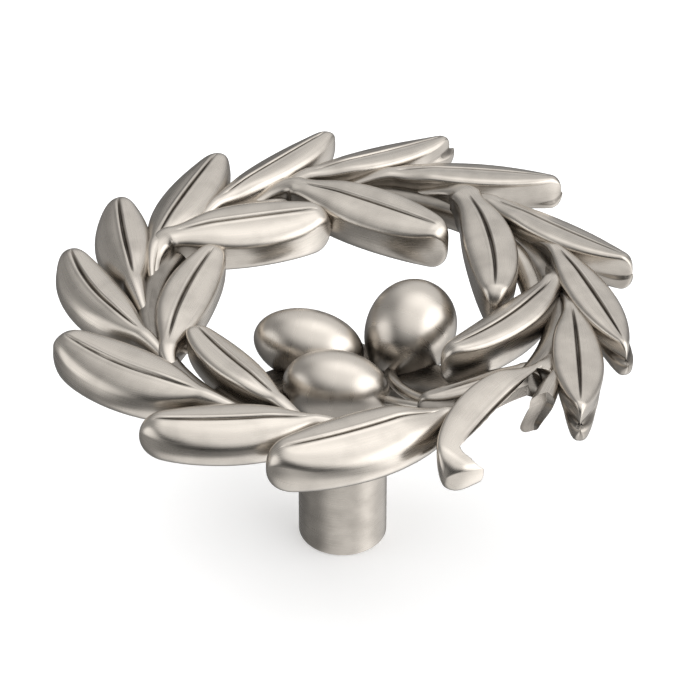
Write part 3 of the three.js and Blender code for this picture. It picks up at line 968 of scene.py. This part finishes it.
@dataclass
class Post:
    """The round post with its screw hole and its neck; the two arms that carry the wreath are pieces of their own.
    """

    radius: float = 5.0
    top: float = 22.9
    edge: float = 0.35
    neck_radius: float = 2.0
    neck_top: float = 25.2
    bore: float = 1.7
    bore_depth: float = 12.0
    thread_pitch: float = 0.7
    thread_depth: float = 0.25
    mouth: float = 0.4
    lead_in: tuple[float, float] = (0.35, 0.4)
    cone: float = 1.0
    bore_painted_shade: float = 0.7
    wall_painted_shade: float = 0.26
    around: int = 128

    def profile(self) -> Array:
        """The post's outline from the bore's end to the neck, with thread waves in the bore and a round edge.

        Returns:
            Radius and height of each outline point.
        """
        bore_z = np.linspace(self.bore_depth, self.mouth, 200)
        wave = self.thread_depth * np.abs(((bore_z / self.thread_pitch) % 1) * 2 - 1)
        thread = np.stack([self.bore + wave - self.thread_depth / 2, bore_z], axis=1)
        mouth = np.array([[self.bore + step, 0.0] for step in self.lead_in])
        turn = np.linspace(-TAU / 4, 0, 9)
        corner = np.stack([np.cos(turn) - 1, np.sin(turn) + 1], axis=1) * self.edge + [self.radius, 0]
        wall_z = np.linspace(self.edge, self.top, 40)[1:]
        wall = np.stack([np.full(len(wall_z), self.radius), wall_z], axis=1)
        neck = np.array([[self.neck_radius, self.neck_top]])
        return np.vstack([thread, mouth, corner, wall, neck])

    def surface(self) -> Skin:
        """The outline turned round the upright axis."""
        profile = self.profile()
        radius, level = profile[:, :1], profile[:, 1:]
        angle = circle(self.around)
        grid = np.stack(np.broadcast_arrays(radius * np.cos(angle), radius * np.sin(angle), level), axis=2)
        run = uv_grid(angle[None, :] * self.radius, way(profile)[:, None])
        # Painted shade: dark inside the bore, and an even painted shade on the wall for the wreath's shadow that
        # it mirrors; none at the top.
        in_bore = radius < self.bore + self.lead_in[0]
        dark = np.where(in_bore, self.bore_painted_shade, self.wall_painted_shade) * (level < self.top)
        dark = np.broadcast_to(dark, grid.shape[:2]).copy()
        ends = (np.array([0, 0, self.bore_depth + self.cone]), np.array([0, 0, self.neck_top]))
        return Skin(grid, run, dark, *ends)


@dataclass
class Arm:
    """One of the two arms under the olives, from the post to the front of the branch."""

    name: str
    at: float
    set_out: float
    width: float = 6.2
    post_levels: tuple[float, float] = (21.6, 25.9)
    end_levels: tuple[float, float] = (30.0, 31.7)
    post_radius: float = 3.0
    squareness: float = 0.7
    wrap: float = 3.0
    # an even painted shade, for the arm's place under the olives
    dark: float = 0.7
    stations: int = 40
    around: int = 40
    ring: Ring = field(default_factory=Ring)

    def surface(self) -> Skin:
        """A rounded bar: a superellipse section whose middle level and height ease from post to branch.

        Returns:
            The skin on its grid.
        """
        tip = self.ring.point(self.at, self.set_out)
        length = float(np.linalg.norm(tip))
        along = tip / length
        across = np.array([-along[1], along[0]])
        reach = np.linspace(0, length, self.stations)
        s = np.clip((reach - self.post_radius) / (length - self.post_radius), 0, 1)
        low = self.post_levels[0] + (self.end_levels[0] - self.post_levels[0]) * s
        high = self.post_levels[1] + (self.end_levels[1] - self.post_levels[1]) * s
        angle = circle(self.around)
        x = self.width / 2 * signed_power(np.cos(angle), self.squareness)
        rise = signed_power(np.sin(angle), self.squareness)
        plan = reach[:, None, None] * along + x[None, :, None] * across
        level = (low + high)[:, None] / 2 + (high - low)[:, None] / 2 * rise[None, :]
        grid = np.concatenate([plan, level[..., None]], axis=2)
        run = uv_grid(reach[:, None], angle[None, :] * self.wrap)
        ends = [np.append(along * reach[i], (low[i] + high[i]) / 2) for i in (0, -1)]
        return Skin(grid, run, np.full(level.shape, self.dark), *ends)


@dataclass
class Sprig:
    """The three olives with their stalks, on the post and its arms."""

    post: Post = field(default_factory=Post)
    arms: tuple[Arm, ...] = (Arm("arm_right", -42, -1.6), Arm("arm_left", -131, -1.4))

    def build(self, finish: bpy.types.Material) -> None:
        """Builds the olives, stalks, post and arms.

        Args:
            finish: the metal's material.
        """
        for piece in (*OLIVES, *STALKS, *self.arms):
            piece.surface().build(piece.name, finish)
        self.post.surface().build("post", finish)


# The studio


def bearing(azimuth: float, elevation: float) -> tuple[float, float, float]:
    """The direction to a place in degrees, with azimuth 0 at the camera's side and 90 to the right."""
    a, e = math.radians(azimuth), math.radians(elevation)
    return (math.sin(a) * math.cos(e), -math.cos(a) * math.cos(e), math.sin(e))


@dataclass(frozen=True)
class SoftBox:
    """One round soft light of the studio: where it stands, its inner and outer angles and its strength."""

    azimuth: float
    elevation: float
    inner: float
    outer: float
    strength: float


def aimed(data: Any, place: Vector, ray: Vector) -> bpy.types.Object:
    """Adds a camera or a light at a place, looking back along a ray."""
    obj = bpy.data.objects.new(data.name, data)
    obj.location = place
    obj.rotation_euler = (-ray).to_track_quat("-Z", "Y").to_euler()
    bpy.context.collection.objects.link(obj)
    return obj


@dataclass
class Studio:
    """Camera, soft lights and a plain pale floor."""

    target: tuple[float, float, float] = (-0.3, 0.0, 26.9)
    elevation: float = 36.8
    distance: float = 400.0
    lens: float = 192.5
    sensor: float = 36.0
    clip: tuple[float, float] = (0.01, 20.0)
    around: float = 0.04
    below: float = 0.2
    horizon: tuple[float, float] = (-0.3, 0.2)
    floor_half: float = 1.5
    floor_glow: float = 0.24
    key_at: tuple[float, float] = (-80, 55)
    key_distance: float = 0.4
    key_size: float = 0.35
    key_watts: float = 0.6
    key_aim: float = 0.03
    boxes: tuple[SoftBox, ...] = (
        SoftBox(72, 14, 24, 46, 2.0),
        SoftBox(-75, 12, 14, 36, 1.2),
        SoftBox(45, 72, 12, 60, 1.2),
        SoftBox(155, 40, 18, 58, 0.85),
        SoftBox(-120, 25, 15, 55, 0.32),
        SoftBox(98, -37, 20, 48, 0.8),
        SoftBox(20, -62, 34, 54, 0.85),
        SoftBox(-80, -35, 8, 32, 0.12),
    )

    def camera(self) -> None:
        """Puts the camera at the photograph's angle."""
        data = bpy.data.cameras.new("camera")
        data.lens, data.sensor_width = self.lens, self.sensor
        data.clip_start, data.clip_end = self.clip
        back = Vector(bearing(0, self.elevation))
        bpy.context.scene.camera = aimed(data, (Vector(self.target) + back * self.distance) * MM, back)

    def key_light(self) -> None:
        """A square soft light at the left, which the metal doesn't mirror."""
        data = bpy.data.lights.new("key", "AREA")
        data.shape, data.size, data.energy = "SQUARE", self.key_size, self.key_watts
        ray = Vector(bearing(*self.key_at))
        obj = aimed(data, Vector((0, 0, self.key_aim)) + ray * self.key_distance, ray)
        obj.visible_glossy = False

    def floor(self) -> None:
        """A large white board under the knob."""
        half = self.floor_half
        mesh = bpy.data.meshes.new("floor")
        corners = [(-half, -half, 0), (half, -half, 0), (half, half, 0), (-half, half, 0)]
        mesh.from_pydata(corners, [], [(0, 1, 2, 3)])
        made = bpy.data.materials.new("floor_board")
        made.use_nodes = True
        shader = made.node_tree.nodes["Principled BSDF"]
        looks = {
            "Base Color": linear("#F4F4F4"),
            "Roughness": 0.9,
            "Specular IOR Level": 0.0,
            "Emission Color": linear("#FFFFFF"),
            "Emission Strength": self.floor_glow,
        }
        for name, value in looks.items():
            shader.inputs[name].default_value = value
        mesh.materials.append(made)
        obj = bpy.data.objects.new("floor", mesh)
        obj.visible_glossy = False
        obj.visible_shadow = False
        bpy.context.collection.objects.link(obj)

    def world(self) -> None:
        """A studio of soft boxes: a weak even light, and round soft lobes of light about chosen directions.

        A lobe is full within its inner angle of its axis, and eases to nothing at its outer angle. The camera
        itself sees plain white behind the floor.
        """
        world = bpy.data.worlds.new("studio")
        world.use_nodes = True
        tree = world.node_tree
        tree.nodes.clear()
        where = add(tree, "ShaderNodeTexCoord", {}, {})
        split = add(tree, "ShaderNodeSeparateXYZ", {}, {"Vector": where.outputs["Generated"]})
        total = rescale(tree, split.outputs["Z"], self.horizon, (self.below, self.around), Course.SOFT)
        for box in self.boxes:
            aim = add(tree, "ShaderNodeVectorMath", {"operation": "DOT_PRODUCT"}, {0: where.outputs["Generated"]})
            aim.inputs[1].default_value = bearing(box.azimuth, box.elevation)
            edges = (math.cos(math.radians(box.outer)), math.cos(math.radians(box.inner)))
            lobe = rescale(tree, aim.outputs["Value"], edges, (0.0, box.strength), Course.SOFT)
            total = add(tree, "ShaderNodeMath", {"operation": "ADD"}, {0: total, 1: lobe}).outputs["Value"]
        white = {"Color": linear("#FFFFFF")}
        glow = add(tree, "ShaderNodeBackground", white, {"Strength": total})
        plain_white = add(tree, "ShaderNodeBackground", {**white, "Strength": 1.0}, {})
        seen = add(tree, "ShaderNodeLightPath", {}, {})
        choice = {0: seen.outputs["Is Camera Ray"], 1: glow.outputs["Background"]}
        both = add(tree, "ShaderNodeMixShader", {}, {**choice, 2: plain_white.outputs["Background"]})
        add(tree, "ShaderNodeOutputWorld", {}, {"Surface": both.outputs["Shader"]})
        bpy.context.scene.world = world

    def build(self) -> None:
        """Builds the camera, floor, world and lights."""
        self.camera()
        self.floor()
        self.world()
        self.key_light()
        bpy.context.scene.view_settings.view_transform = "Standard"


def main() -> None:
    """Builds the knob's finish, wreath, sprig and post, then the studio."""
    logging.basicConfig(level=logging.INFO, format="%(name)s %(message)s")
    finish = SatinNickel().material()
    Wreath().build(finish)
    Sprig().build(finish)
    Studio().build()


if __name__ == "__main__":
    main()
